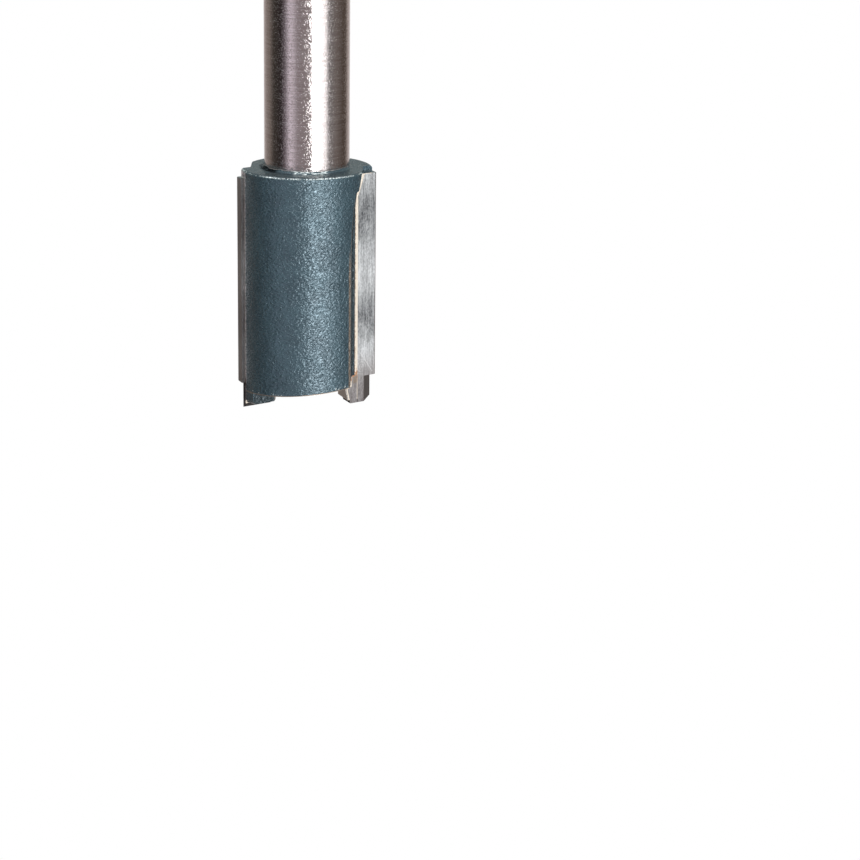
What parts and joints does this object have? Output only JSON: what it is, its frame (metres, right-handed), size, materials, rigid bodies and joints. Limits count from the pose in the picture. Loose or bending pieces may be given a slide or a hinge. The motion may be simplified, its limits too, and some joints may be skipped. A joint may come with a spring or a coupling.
{
  "type": "router bit",
  "caption": "Straight router bit: a plain round shank and a painted drum with stepped, brazed carbide tips for slots and mortises.",
  "frame": {"origin": "centre of the shank's flat end, which it stands on", "axes": "+Z along the tool's axis, from the shank's end towards the nose"},
  "size_m": [0.0196, 0.0182, 0.0744],
  "materials": {
    "painted_steel": "semi-gloss blue-grey paint on the drum, bare ground steel on the shank",
    "carbide": "satin ground carbide",
    "braze": "pale silver braze with a copper tint"
  },
  "bodies": {
    "root": {"body": "painted_steel", "side_tip_1": "carbide", "side_tip_2": "carbide", "plunge_tip_1": "carbide", "plunge_tip_2": "carbide", "side_braze_1": "braze", "side_braze_2": "braze", "plunge_braze_1": "braze", "plunge_braze_2": "braze"}
  },
  "joints": []
}
